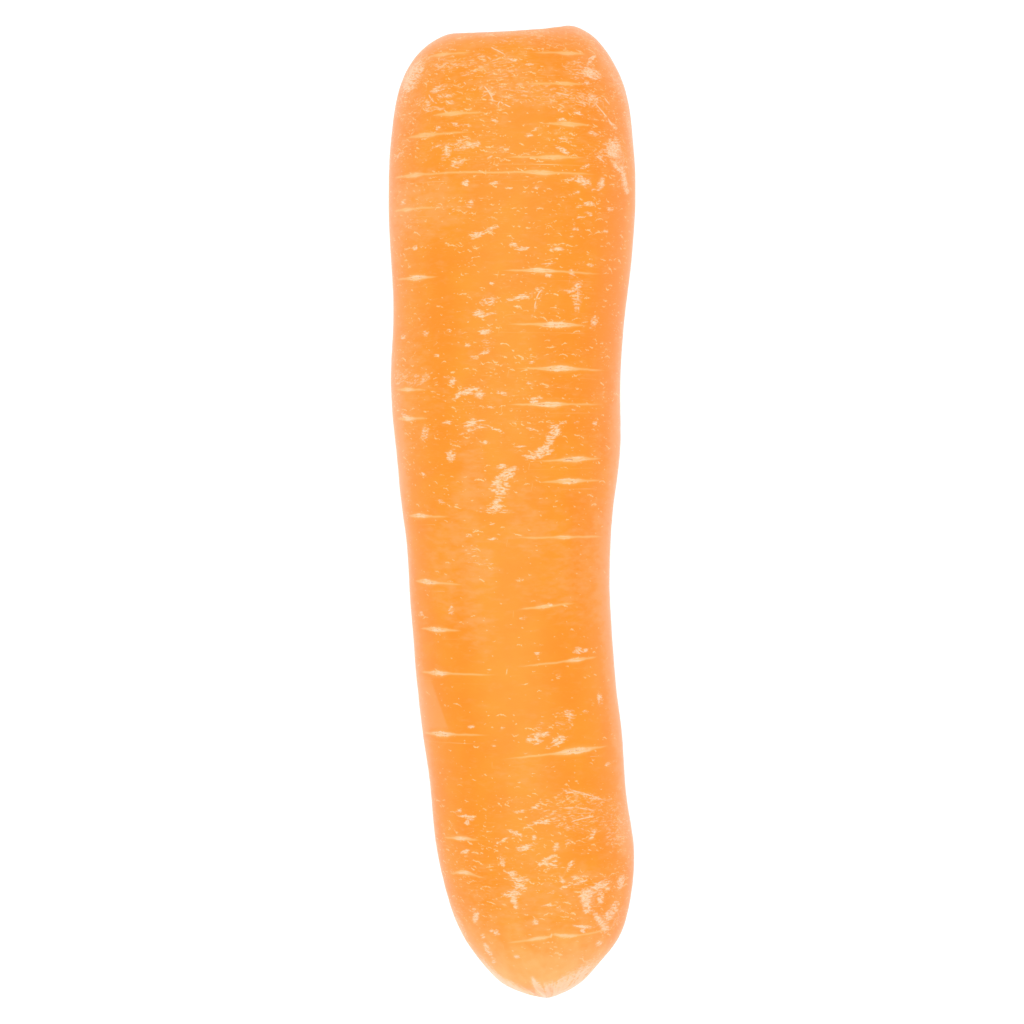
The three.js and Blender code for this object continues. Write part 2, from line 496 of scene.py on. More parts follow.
# Dry scuffed patches on the upper side, in mm and degrees, seen from above: the middle of each, its
# length and width, how far it is turned from lying across the root, and how dry it is. A turn above
# 0 lifts its right end towards the crown.
UPPER_SCUFFS = (
    # On the shoulder
    (-16.0, 71.0, 6.2, 2.0, 62, 0.8), (-18.0, 66.6, 3.0, 1.3, 70, 0.35),
    (13.5, 75.6, 7.0, 2.0, -42, 0.3), (17.2, 70.0, 6.5, 1.6, -62, 0.3),
    (19.2, 62.5, 6.5, 1.2, -80, 0.25), (-13.0, 75.9, 4.0, 1.4, 48, 0.25),
    (-11.0, 72.3, 2.5, 1.5, 0, 0.5), (-8.7, 72.3, 1.8, 0.8, 0, 0.5),
    (-5.5, 72.4, 3.0, 2.2, 0, 0.42), (-7.0, 70.8, 2.0, 0.8, 15, 0.5),
    (-11.8, 68.4, 2.2, 0.9, 15, 0.8), (-10.5, 67.1, 2.4, 0.7, 0, 0.7),
    (-10.3, 66.1, 2.0, 0.6, -10, 0.7), (-14.5, 66.3, 1.8, 1.6, 0, 0.45),
    (-13.4, 65.7, 0.6, 2.0, 25, 0.6), (-12.0, 65.1, 3.0, 0.5, -8, 0.6),
    (-14.0, 64.7, 2.0, 0.5, 10, 0.5), (-4.3, 67.7, 0.9, 1.8, 25, 0.5),
    (-3.3, 66.7, 1.0, 2.0, 20, 0.6), (0.2, 72.8, 1.6, 0.5, 0, 1.0),
    (2.8, 72.0, 1.2, 0.6, 0, 0.9), (-1.5, 71.6, 4.0, 3.0, 0, 0.38),
    (-2.0, 74.3, 2.5, 0.5, -40, 0.5), (2.5, 76.2, 8.0, 1.2, 5, 0.35),
    (0.0, 76.3, 2.0, 0.8, 0, 0.4), (12.7, 71.0, 3.0, 1.7, -15, 0.95),
    (10.8, 71.4, 4.0, 2.6, 0, 0.5), (12.9, 73.4, 2.0, 0.5, 50, 0.9),
    (11.8, 69.3, 1.6, 0.6, 0, 0.8), (5.0, 67.1, 14.0, 2.4, -3, 0.4),
    (8.0, 67.2, 2.0, 0.6, -10, 0.5), (13.0, 66.9, 2.6, 1.0, -15, 0.7),
    (14.6, 64.4, 6.5, 0.6, -45, 0.45), (16.4, 62.7, 1.6, 0.8, -40, 0.7),
    (10.6, 64.3, 1.6, 0.7, -20, 0.9), (7.7, 64.4, 0.9, 0.5, -20, 0.9),
    (7.9, 63.1, 1.2, 0.5, 10, 0.9), (-2.7, 62.7, 1.6, 0.6, -35, 0.9),
    (-9.0, 62.4, 1.2, 0.6, -15, 0.9), (-7.0, 62.1, 1.0, 0.5, -20, 0.8),
    (-11.8, 61.9, 0.8, 0.8, 0, 0.8), (2.7, 60.4, 1.2, 0.6, 0, 0.9),
    (3.8, 61.4, 1.0, 0.5, 40, 0.8), (13.2, 61.1, 1.6, 0.6, -15, 0.9),
    (-8.0, 59.4, 2.0, 1.0, 20, 0.6), (-6.8, 58.8, 3.5, 0.9, 10, 0.75),
    (-12.0, 59.0, 1.6, 0.5, 10, 0.9), (-10.4, 58.0, 1.2, 2.6, -20, 0.75),
    (-18.5, 58.1, 2.0, 0.6, 20, 0.6), (8.4, 59.8, 2.0, 0.5, -15, 0.9),
    (8.0, 58.2, 2.3, 0.7, -30, 1.0), (-1.5, 58.2, 2.6, 0.8, -15, 0.5),
    (16.4, 59.0, 2.5, 3.0, 0, 0.95), (15.0, 57.9, 2.0, 1.2, -10, 0.5),
    # Below the shoulder
    (-8.8, 56.1, 1.9, 1.2, 30, 0.9), (-3.7, 56.8, 1.0, 0.5, 30, 0.9),
    (17.3, 55.9, 2.6, 0.9, -42, 1.0), (18.2, 54.0, 2.6, 0.9, -78, 0.95),
    (18.7, 52.4, 0.8, 0.9, 0, 0.9), (18.0, 56.1, 1.5, 0.6, 30, 0.7),
    (11.8, 55.7, 1.6, 0.5, 25, 0.9), (14.2, 57.1, 2.0, 0.5, -40, 0.8),
    (11.3, 53.3, 2.4, 1.4, -25, 0.95), (9.2, 53.4, 1.4, 0.5, 0, 0.9),
    (14.4, 53.1, 0.9, 1.8, -20, 0.9), (13.4, 52.1, 1.6, 0.5, 20, 0.7),
    (10.4, 51.6, 1.0, 0.6, 0, 0.9), (3.8, 52.0, 1.0, 0.6, 15, 0.9),
    (-0.5, 52.0, 0.9, 0.5, 0, 0.9), (-2.7, 52.8, 1.4, 0.6, 10, 0.8),
    (-7.4, 52.9, 1.2, 1.2, -20, 0.8), (12.4, 49.8, 1.6, 0.6, 0, 0.9),
    (11.2, 49.5, 1.2, 0.5, 10, 0.8), (15.9, 49.1, 0.9, 0.6, 0, 0.9),
    (12.4, 48.2, 1.2, 0.5, -20, 0.9), (11.0, 47.5, 1.2, 0.5, 0, 0.8),
    (10.2, 45.7, 1.1, 0.6, 0, 0.95), (15.0, 45.5, 0.8, 0.6, 0, 0.8),
    (-17.6, 50.3, 0.8, 0.8, 20, 0.8), (-6.6, 49.5, 1.0, 1.2, -10, 0.8),
    (-9.2, 48.7, 1.2, 0.5, 15, 0.8), (-16.0, 47.1, 2.0, 1.5, 0, 0.3),
    (-5.9, 44.5, 2.0, 1.0, 10, 0.95), (-4.4, 44.9, 2.2, 0.5, 20, 0.9),
    (-2.9, 45.7, 1.8, 0.5, 15, 0.95), (1.7, 42.4, 2.2, 0.6, 0, 1.0),
    (0.2, 43.1, 1.4, 0.5, 0, 0.8), (7.1, 42.3, 2.0, 0.5, 5, 0.9),
    (-15.7, 42.9, 0.9, 0.6, 20, 0.9), (5.8, 40.0, 1.8, 0.5, 5, 0.9),
    (12.6, 40.0, 1.0, 0.6, 0, 0.9), (5.9, 38.1, 1.5, 0.5, -10, 0.9),
    (9.6, 38.7, 0.9, 1.2, 0, 0.8), (-3.2, 36.9, 1.1, 0.5, 10, 0.9),
    (10.5, 36.7, 1.2, 1.4, 0, 0.95), (10.5, 34.8, 1.2, 3.8, -3, 0.58),
    (9.2, 35.7, 1.6, 0.5, 0, 0.9), (4.4, 35.9, 1.0, 0.8, -20, 0.8),
    (4.2, 33.7, 0.5, 3.6, -25, 0.5), (1.6, 34.7, 2.6, 0.7, 12, 0.95),
    (-0.6, 34.1, 1.0, 0.5, 0, 0.8), (-3.8, 34.0, 2.4, 1.2, 15, 0.7),
    (1.0, 33.1, 0.9, 0.5, 0, 0.8), (-5.2, 31.9, 1.8, 1.2, -10, 0.9),
    (-3.4, 32.0, 2.0, 0.5, 15, 0.85), (13.3, 31.1, 0.9, 1.6, -15, 0.9),
    # On the middle
    (-4.3, 29.1, 1.8, 0.8, 15, 0.8), (-10.1, 29.3, 0.9, 0.5, -10, 0.9),
    (-14.0, 29.1, 0.8, 0.9, 0, 0.8), (-17.7, 28.7, 0.8, 0.7, 0, 0.8),
    (1.7, 29.1, 1.0, 0.5, 10, 0.8), (-7.1, 27.0, 0.8, 0.5, 0, 0.9),
    (-3.8, 27.3, 1.6, 1.4, 0, 0.5), (-4.3, 25.8, 1.5, 0.6, 20, 0.95),
    (-6.0, 25.0, 1.3, 0.5, -5, 1.0), (-12.2, 25.4, 0.9, 0.5, -15, 0.9),
    (3.2, 24.3, 1.1, 0.5, 15, 0.9), (-9.6, 21.3, 1.0, 1.2, 0, 1.0),
    (-10.6, 21.9, 1.0, 0.5, 0, 0.8), (-16.5, 21.9, 3.4, 1.6, -20, 0.5),
    (-18.5, 22.1, 1.2, 2.0, 0, 0.55), (-14.0, 21.9, 1.2, 1.0, 20, 0.6),
    (2.8, 20.9, 1.1, 0.5, -10, 0.9), (-7.0, 19.6, 3.2, 0.9, 12, 0.9),
    (-8.8, 18.9, 1.6, 0.7, 40, 0.9), (-5.2, 19.1, 1.4, 1.2, -25, 0.9),
    (-1.6, 19.3, 2.4, 0.5, -20, 0.9), (3.4, 18.0, 1.2, 1.0, 20, 0.95),
    (4.3, 18.6, 1.2, 0.5, 10, 0.8), (-3.5, 17.1, 1.2, 0.5, -5, 1.0),
    (-17.2, 15.7, 1.6, 0.7, -45, 0.9), (-10.2, 14.6, 1.8, 0.5, 0, 0.95),
    (-6.5, 14.5, 2.0, 1.1, 25, 0.85), (-5.0, 14.9, 2.0, 0.5, 10, 0.75),
    (8.4, 14.6, 1.0, 0.5, 0, 0.9), (10.4, 14.6, 0.8, 0.5, 0, 0.9),
    (13.4, 14.6, 0.8, 0.6, 0, 0.9), (-7.2, 13.2, 2.6, 0.5, 20, 0.7),
    (-2.6, 13.5, 2.4, 0.5, -22, 0.95), (-4.8, 13.9, 2.4, 0.5, 0, 0.7),
    (-14.0, 13.0, 1.0, 1.8, -10, 0.7), (-4.2, 11.4, 1.2, 0.6, -5, 1.0),
    (1.4, 10.8, 1.3, 0.5, 0, 0.95), (3.2, 13.5, 1.6, 0.5, -15, 0.8),
    (6.9, 13.3, 1.5, 1.8, 0, 0.95), (6.2, 12.1, 1.3, 1.5, -30, 0.8),
    (5.7, 11.1, 1.0, 0.8, 20, 1.0), (5.0, 10.1, 2.4, 1.2, 15, 0.95),
    (3.5, 9.2, 2.8, 1.0, 0, 0.85), (5.5, 9.6, 1.5, 0.7, 20, 0.85),
    (-9.8, 9.4, 1.4, 1.6, 0, 1.0), (-9.5, 11.5, 0.9, 1.2, 0, 0.3),
    (-14.5, 6.4, 0.9, 0.5, -10, 0.9), (-1.6, 7.6, 1.6, 0.7, 5, 0.85),
    (-0.5, 6.6, 2.6, 1.1, 20, 0.85), (-1.5, 5.7, 3.0, 1.1, 15, 0.8),
    (-2.0, 4.7, 2.6, 0.9, 5, 0.75), (-2.0, 3.8, 2.6, 1.0, 5, 0.9),
    (-1.6, 3.1, 1.6, 0.6, 0, 0.8), (-2.4, 1.9, 1.7, 1.0, 15, 0.8),
    (-2.6, 1.0, 1.9, 1.1, 10, 0.9), (-2.8, 0.4, 4.2, 0.6, -3, 0.55),
    (-11.5, 1.9, 1.5, 0.5, -25, 0.95), (-3.3, -1.6, 1.0, 0.5, 0, 1.0),
    (-3.2, -4.1, 1.4, 0.5, 0, 1.0), (-6.9, -3.6, 1.0, 0.5, 0, 0.8),
    (1.3, -10.6, 1.1, 0.5, 0, 0.95), (-4.0, -8.4, 2.0, 1.2, 0, 0.4),
    (-6.5, -6.9, 2.0, 2.5, 0, 0.3), (-9.8, -15.7, 0.8, 1.5, 0, 0.7),
    (6.2, -14.8, 0.8, 0.6, 0, 0.8), (1.8, -16.8, 1.0, 0.5, 5, 0.95),
    (-14.8, -16.4, 0.8, 0.7, 0, 0.8), (10.8, -22.2, 1.3, 0.9, 0, 0.95),
    (11.9, -22.2, 0.9, 0.6, 0, 0.9), (4.0, -22.5, 1.0, 0.5, 5, 0.95),
    (7.5, -26.3, 0.8, 0.7, 0, 0.8), (14.3, -30.1, 0.8, 1.6, 10, 0.85),
    # Towards the tip
    (9.2, -32.4, 1.4, 0.9, 0, 0.8), (11.9, -32.1, 0.8, 0.5, 0, 0.9),
    (3.3, -36.3, 1.8, 1.2, 10, 0.95), (5.0, -35.6, 2.0, 0.8, 0, 0.9),
    (4.2, -36.9, 1.4, 0.6, 0, 0.8), (7.5, -36.7, 2.0, 1.3, 20, 1.0),
    (5.4, -34.4, 2.4, 1.6, 0, 0.3), (8.4, -33.2, 2.4, 2.6, 0, 0.4),
    (5.7, -37.8, 0.8, 0.5, 0, 0.9), (-6.6, -34.5, 1.0, 0.5, 5, 0.95),
    (-1.5, -34.6, 0.8, 0.5, 0, 0.9), (-2.9, -37.4, 0.9, 0.5, 0, 0.8),
    (15.6, -40.9, 0.9, 0.5, 30, 0.8), (11.8, -45.7, 6.5, 0.5, -17, 0.6),
    (9.2, -44.9, 1.6, 0.5, -10, 0.8), (11.5, -48.4, 11.0, 4.4, -6, 0.38),
    (17.5, -51.9, 3.0, 3.6, -30, 0.45), (1.3, -48.1, 2.0, 0.5, 8, 0.9),
    (3.9, -47.4, 1.0, 0.5, 10, 0.95), (5.0, -49.8, 3.6, 0.6, 8, 1.0),
    (2.6, -50.4, 1.0, 0.5, 10, 0.9), (-8.6, -48.3, 0.9, 0.6, 20, 0.8),
    (-8.0, -49.1, 1.4, 0.5, 0, 0.95), (-6.8, -49.3, 1.4, 0.9, 10, 0.85),
    (-7.3, -50.2, 0.8, 0.8, 0, 0.9), (-0.2, -51.2, 1.4, 0.5, -10, 0.95),
    (0.8, -51.7, 1.8, 0.7, -30, 1.0), (-1.8, -53.0, 2.2, 0.5, 30, 0.9),
    (3.6, -52.3, 0.9, 0.7, 0, 0.8), (1.8, -54.0, 1.8, 0.9, 5, 1.0),
    (3.2, -53.4, 1.8, 0.5, 15, 0.75), (-7.6, -54.9, 1.6, 0.6, 25, 0.9),
    (9.2, -50.7, 1.0, 1.0, 0, 0.6), (13.2, -51.9, 0.7, 1.8, -25, 0.75),
    (7.2, -53.9, 0.9, 1.2, -20, 0.8), (9.2, -53.1, 1.2, 0.8, 20, 0.7),
    (6.1, -56.4, 2.4, 1.6, -10, 0.75), (4.6, -56.7, 0.9, 0.5, 0, 0.95),
    (6.8, -55.3, 1.0, 0.5, 15, 0.8), (-1.6, -56.3, 0.8, 1.6, 15, 0.8),
    (9.4, -56.9, 0.7, 1.8, -30, 0.8), (8.0, -59.1, 0.8, 1.4, 15, 0.8),
    (10.4, -59.4, 2.6, 1.4, 25, 0.6), (11.5, -59.5, 2.0, 0.5, 15, 0.85),
    (0.0, -58.3, 1.7, 1.0, -15, 1.0), (1.2, -59.2, 2.4, 0.8, 0, 0.8),
    (1.2, -60.3, 2.0, 1.0, -15, 0.9), (-0.2, -61.5, 2.4, 0.9, 5, 0.9),
    (0.8, -61.1, 1.0, 0.5, 0, 0.9), (0.3, -62.5, 1.1, 1.1, 0, 0.95),
    (0.7, -63.5, 0.8, 0.9, 0, 1.0), (8.5, -60.4, 1.6, 0.5, 20, 0.8),
    (6.5, -61.3, 1.2, 0.5, 15, 0.7), (12.2, -61.6, 2.4, 1.8, 15, 1.0),
    (14.4, -60.4, 3.2, 1.2, 20, 0.95), (12.0, -63.0, 1.4, 2.2, 10, 0.9),
    (12.2, -64.3, 1.2, 1.2, 0, 0.95), (14.4, -62.4, 1.0, 2.4, 0, 0.85),
    (15.6, -61.1, 1.2, 0.5, 30, 0.85), (16.2, -65.2, 3.0, 1.4, 52, 0.85),
    (17.0, -63.7, 1.2, 0.6, 0, 0.8), (14.3, -66.3, 3.4, 0.9, -55, 0.95),
    (15.2, -67.6, 1.3, 1.3, 0, 1.0), (17.8, -60.2, 1.1, 2.2, -15, 0.95),
    (11.4, -67.1, 3.0, 0.6, -8, 0.95), (11.5, -67.7, 0.8, 0.9, 0, 0.95),
    (-5.9, -65.7, 0.8, 1.8, -15, 0.95), (-6.1, -64.5, 0.7, 0.6, 0, 0.8),
    (-2.5, -68.1, 1.0, 0.9, 0, 1.0), (-3.3, -67.9, 0.9, 0.5, -10, 0.9),
    (3.8, -66.1, 0.9, 1.0, -20, 0.8), (-3.9, -71.3, 0.8, 2.4, 30, 0.95),
    (-4.7, -68.9, 0.7, 0.8, 0, 0.8), (-2.9, -73.2, 0.7, 0.9, 15, 0.8),
    (0.8, -72.1, 1.0, 0.5, -10, 1.0), (14.2, -70.2, 1.0, 1.0, -30, 0.8),
    (5.8, -63.4, 1.4, 0.5, 10, 0.8), (7.8, -63.8, 1.1, 0.5, 10, 0.85),
    (10.8, -75.6, 7.0, 2.2, 30, 0.45), (13.4, -73.6, 2.6, 1.2, 50, 0.35),
    (9.2, -77.6, 5.0, 1.6, 32, 0.55), (-8.6, -67.6, 4.0, 0.9, -62, 0.55),
)

# Wide pale patches on the upper side, laid out like those above. Some are dull skin; the long strips
# down both flanks are painted sheen, the pale veil that glancing light lays on the edges.
UPPER_HAZES_AND_EDGE_SHEEN = (
    (-17.0, 66.0, 5.0, 14.0, 0, 0.3), (-18.5, 48.0, 4.0, 14.0, 0, 0.6),
    (-16.0, 20.0, 6.0, 26.0, 0, 0.3), (16.0, 71.0, 3.5, 9.0, 25, 0.4),
    (0.0, 76.9, 22.0, 2.2, 3, 0.4), (18.5, -52.0, 3.0, 9.0, 0, 0.7),
    (-9.0, -8.0, 9.0, 22.0, 0, 0.6), (11.0, -9.0, 9.0, 22.0, 0, 0.5),
    (1.0, -64.0, 18.0, 9.0, 0, 0.4), (12.5, -62.5, 9.0, 13.0, 0, 0.4),
    (-1.0, 71.0, 14.0, 6.0, 0, 0.35), (5.0, 66.5, 16.0, 4.0, -3, 0.2),
    (-4.0, -9.0, 5.0, 9.0, 0, 0.35), (1.0, 3.0, 14.0, 5.0, 0, 0.3),
    (4.0, -12.0, 9.0, 7.0, 0, 0.3), (12.0, -49.0, 12.0, 6.0, -8, 0.1),
    (2.0, -42.0, 9.0, 6.0, 0, 0.3), (-13.0, 49.5, 10.0, 11.0, 0, 0.7),
    (-18.6, 8.0, 3.2, 40.0, 4, 0.9), (-15.0, -36.0, 3.2, 56.0, 5, 0.9),
    (-6.5, 6.0, 5.0, 16.0, 0, 0.5), (3.0, -3.0, 10.0, 8.0, 0, 0.5), (-5.0, -19.0, 5.0, 9.0, 0, 0.5),
    (17.4, 12.0, 3.4, 30.0, -4, 1.0), (17.0, -26.0, 3.8, 56.0, 5, 1.0),
)

# Where the skin has dried so far that it is bleached, laid out like those above. The underside is
# bleached in the same places.
UPPER_BLEACHES = (
    (-16.5, 71.6, 6.0, 1.9, 62, 0.55), (-18.9, 65.8, 4.0, 0.9, 75, 0.15),
    (13.4, 75.6, 7.5, 2.2, -42, 0.25), (17.1, 70.3, 7.5, 1.6, -62, 0.35),
    (19.2, 63.0, 9.0, 1.2, -80, 0.35), (0.0, 77.6, 24.0, 1.8, 3, 0.3),
    (17.2, 57.3, 3.4, 4.6, 10, 0.35), (18.4, 53.4, 1.6, 4.0, 8, 0.3),
    (10.6, -76.9, 9.0, 4.6, 33, 0.7), (7.4, -79.0, 6.0, 3.0, 14, 0.8),
    (0.2, -78.2, 9.0, 2.4, -30, 0.7), (-8.7, -67.2, 8.0, 1.4, -64, 0.3),
    (-3.6, -74.8, 8.0, 1.6, -50, 0.4), (14.0, -72.9, 5.0, 1.4, 48, 0.15),
    (17.4, -66.2, 5.5, 1.4, 62, 0.3), (3.9, -77.0, 3.4, 1.4, -62, 0.48),
    (6.0, -78.0, 5.0, 3.2, 10, 0.55), (14.4, -66.4, 4.0, 1.6, -55, 0.45),
    (12.3, -62.6, 2.6, 4.4, 5, 0.35), (12.6, 70.9, 3.0, 1.8, -15, 0.3),
)

# Where the flesh is yellower and paler (above 0) or redder and deeper (below 0) than elsewhere.
UPPER_TONES = (
    (-10.2, 40.5, 7.0, 6.0, 0, -0.8), (-12.3, 29.5, 8.0, 8.0, 0, -0.5),
    (9.5, 27.0, 13.0, 4.5, 0, -0.9), (11.0, 20.3, 12.0, 4.0, 0, -0.9),
    (12.8, 13.5, 8.0, 7.0, 0, -0.8), (11.6, 62.5, 8.0, 4.0, 0, -0.6),
    (17.0, 49.5, 4.0, 10.0, 0, -0.6), (12.8, -53.5, 7.0, 5.0, 0, -0.9),
    (12.0, -43.0, 9.0, 3.5, 0, -0.7), (-11.3, -29.0, 4.0, 9.0, 10, -0.5),
    (-9.0, -46.0, 4.5, 18.0, 10, -0.6), (8.4, -18.5, 7.0, 4.5, 0, -0.5),
    (7.4, -26.0, 8.0, 5.0, 0, -0.5), (12.5, 0.5, 7.0, 5.0, 0, -0.5),
    (15.0, 36.0, 5.0, 9.0, 0, -0.6), (3.4, -78.3, 4.0, 0.8, -67, -1.0),
    (5.1, -77.4, 2.6, 0.6, -72, -0.9), (0.8, 60.0, 10.0, 8.0, 0, 0.4),
    (-1.5, 31.8, 7.0, 8.0, 0, 0.6), (-4.7, -9.0, 5.0, 13.0, 0, 0.9),
    (9.0, 67.0, 14.0, 12.0, 0, -0.4), (14.0, 40.0, 8.0, 50.0, 0, -0.3),
    (-13.0, 3.0, 8.0, 50.0, 5, 0.35), (-7.5, -50.0, 9.0, 26.0, 8, 0.4),
    (3.0, -3.5, 9.0, 6.0, 0, 0.5), (0.8, -42.5, 10.0, 9.0, 0, 0.8),
    (3.0, -57.0, 11.0, 14.0, 0, 0.6), (-13.4, 50.3, 7.0, 6.0, 0, 0.7),
    (-3.5, -23.0, 8.0, 12.0, 0, 0.4), (3.5, 48.0, 11.0, 8.0, 0, 0.3),
)

# How worn the skin is along the root, between the patches: distance along the root in mm, and how
# large a share of the small marks shows there.
WEAR = (
    (-80, 0.1), (-70, 0.25), (-62, 0.68), (-54, 0.62), (-46, 0.25), (-34, 0.1), (-20, 0.05), (-6, 0.05),
    (8, 0.3), (20, 0.5), (34, 0.32), (48, 0.4), (60, 0.7), (72, 0.85), (80, 0.7),
)

# The underside's patches of each kind: how many, and the ranges of their length and width in mm and
# of their strength.
UNDER_SCUFFS = (90, (1, 4), (0.5, 1.4), (0.7, 1))
UNDER_HAZES = (10, (5, 14), (3, 8), (0.3, 0.7))
UNDER_TONES = (16, (6, 14), (4, 9), (-1, 0.8))
UNDER_REACH = 16  # mm to either side of the middle, over which they lie
UNDER_TILT = 30  # degrees either way, the most that one is turned

PATCH_START = (8 * MM, 11 * MM)  # over the skin from the crown's middle, where patches fade in
UPPER_FADE = (-0.5, -0.1)  # sines of the turn between which the upper side's patches fade in
UNDER_FADE = (0.0, -0.4)  # and the underside's


def under_patches(rng, count, length, width, strength):
    """Patches on the underside: seeded, within these ranges."""
    lows = (-UNDER_REACH, UNDER_SPAN[0], length[0], width[0], -UNDER_TILT, strength[0])
    highs = (UNDER_REACH, UNDER_SPAN[1], length[1], width[1], UNDER_TILT, strength[1])
    return rng.uniform(lows, highs, (count, 6))


def out_of_patch(surface, x, y, length, width, tilt):
    """How far each corner is from the middle of a turned oval patch: 1 is on the patch's edge."""
    turned = math.radians(tilt)
    right = surface.places[..., 0] - x * MM
    up = surface.places[..., 1] - y * MM
    along = (right * math.cos(turned) + up * math.sin(turned)) / (length / 2 * MM)
    across = (up * math.cos(turned) - right * math.sin(turned)) / (width / 2 * MM)
    return np.sqrt(along**2 + across**2)


def by_side(surface, upper, under):
    """Each patch with the share of it that shows: none inside the rim or on the other side."""
    outside = smooth_step(*PATCH_START, surface.from_crown)
    for fade, patches in ((UPPER_FADE, upper), (UNDER_FADE, under)):
        share = smooth_step(*fade, np.sin(surface.turn)) * outside
        for *oval, strength in patches:
            yield share, oval, strength


def sum_of_patches(surface, upper, under):
    """The sum of soft patches, from -1 to 1."""
    total = np.zeros(surface.turn.shape)
    for share, oval, strength in by_side(surface, upper, under):
        total = total + smooth_step(1.5, 0.3, out_of_patch(surface, *oval)) * strength * share
    return total.clip(-1, 1)


def driest_patch(surface, upper, under):
    """How dry the driest patch leaves each corner.

    A patch is level in its middle, higher the drier it is, and slopes down past its edge.
    """
    driest = np.full(surface.turn.shape, -1.0)
    for share, oval, strength in by_side(surface, upper, under):
        cone = np.minimum(strength * 0.45 + 0.2, 0.92 - 0.42 * out_of_patch(surface, *oval))
        driest = np.maximum(driest, cone - (1 - share) * 2)
    return driest


# The edges of the thin place on the left flank where the skin has peeled, in mm, seen from above:
# from x, y to x, y, with the place to the left of each, and how sharp the edge is.
PEEL_EDGES = (
    (-10.2, -35.3, -12.6, -28.3, 1.0),
    (-16.0, -35.5, -10.0, -35.2, 0.4),
    (-12.0, -26.0, -16.0, -25.0, 0.08),
)


def inside_peel(surface):
    """How far inside the peeled place's edges each corner is, less at soft edges, below 0 outside."""
    right = surface.places[..., 0] / MM
    up = surface.places[..., 1] / MM
    inside = 2 * np.sin(surface.turn) + 1
    for start_x, start_y, end_x, end_y, sharpness in PEEL_EDGES:
        way = np.array([end_x - start_x, end_y - start_y])
        way = way / np.linalg.norm(way) * sharpness
        inside = np.minimum(inside, (up - start_y) * way[0] - (right - start_x) * way[1])
    return inside.clip(-2, 2)


# ---- Crown and tip ---------------------------------------------------------------------------

STALKS = 15  # cut leaf stalks on the stub
STALK_SPREAD = 1.25  # mm; each stalk is this far out times the square root of its number
STALK_TURN = math.radians(137.5)  # from each stalk to the next one out
STALK_HALF_THICK = 1.1  # mm
STALK_HALF_LENGTH = 1.3  # mm round the stub, of the middle stalk
STALK_GROWTH = 0.09  # mm more than that for each stalk further out
STALK_STEP = 0.35  # mm, the most that one stalk stands out further than another
STALK_MIX = 0.618  # share of that step from each stalk's height to the next one's
GAP_DEPTH = 0.3  # mm, of the gaps between the stalks
STUB_EDGE = (5.9, 5.1)  # mm over the skin from the crown's middle, where the stub fades in
FOLDS = 14  # round the stub
FOLD_DEPTH = 0.14  # mm
TIP_FURROWS = 5
TIP_FURROW_DEPTH = 0.2  # mm


def crown_relief(surface):
    """The crown's relief in metres, and the domes of its cut leaf stalks, from 0 to 1."""
    out = surface.from_crown / MM
    swirl = 0.5 * noise_over(surface.places, (3 * MM, 9 * MM, 3 * MM), 3.3)
    nearest = np.full(out.shape, FAR)
    second = nearest
    lift = np.zeros(out.shape)
    for stalk in range(STALKS):
        away = STALK_SPREAD * math.sqrt(stalk)
        turned = to_half_turns(surface.turn + swirl - stalk * STALK_TURN)
        outward = (out - away) / STALK_HALF_THICK
        half_length = STALK_HALF_LENGTH + STALK_GROWTH * stalk
        round_stub = turned * np.minimum(out, away) / half_length
        apart = outward**2 + round_stub**2
        height = GAP_DEPTH + STALK_STEP * (stalk * STALK_MIX % 1)
        lift = np.where(apart < nearest, height, lift)
        second = np.minimum(second, np.maximum(nearest, apart))
        nearest = np.minimum(nearest, apart)
    stub = smooth_step(*STUB_EDGE, out)
    domes = smooth_step(1.0, 0.3, nearest) * smooth_step(-0.2, 0.3, second - nearest)
    folds = 0.5 - 0.5 * np.cos(FOLDS * surface.turn + 10 * swirl)
    folds = folds * smooth_step(6, 8, out) * smooth_step(13, 9.5, out)
    relief = (lift * domes - GAP_DEPTH) * stub - FOLD_DEPTH * folds
    return relief * MM, domes * stub


def tip_relief(surface):
    """Furrows that run together at the tip, in metres."""
    out = surface.from_tip / MM
    swirl = surface.turn + 1.1 * noise_over(surface.places, (7 * MM,) * 3, 7.7)
    furrows = (0.5 + 0.5 * np.cos(TIP_FURROWS * swirl)) ** 5
    furrows = furrows * smooth_step(0.8, 2.0, out) * smooth_step(9, 3, out)
    return -TIP_FURROW_DEPTH * MM * furrows


# ---- The skin --------------------------------------------------------------------------------


def room_outside(places, normals):
    """How far each corner could move out along its normal before it left the solid's box."""
    low, high = (np.array(corner) for corner in SOLID_BOX)
    room = np.where(normals > 0, high - places, places - low)
    never_zero = np.maximum(np.abs(normals), 1e-6)
    return (room / never_zero).min(axis=2)


def skin_places(surface, sizes, crease, stalks):
    """Where the skin's corners go: the solid's surface with its relief, inside the solid's box."""
    lumps = noise_over(surface.places, (16 * MM, 9 * MM, 16 * MM), 1.1)
    ripples = noise_over(surface.places, (9 * MM, 1.6 * MM, 9 * MM), 5.2)
    ripples = ripples * smooth_step(3 * MM, 9 * MM, surface.from_crown)
    height = lumps * sizes.lump_height + ripples * sizes.ripple_height
    height = height - crease * sizes.scar_depth + stalks + tip_relief(surface)
    normals = surface.normals()
    height = np.minimum(height, room_outside(surface.places, normals))
    places = surface.places + normals * height[..., None]
    resting = surface.places[..., 2] <= 0
    places[..., 2] = np.where(resting, 0, places[..., 2].clip(0))
    return places


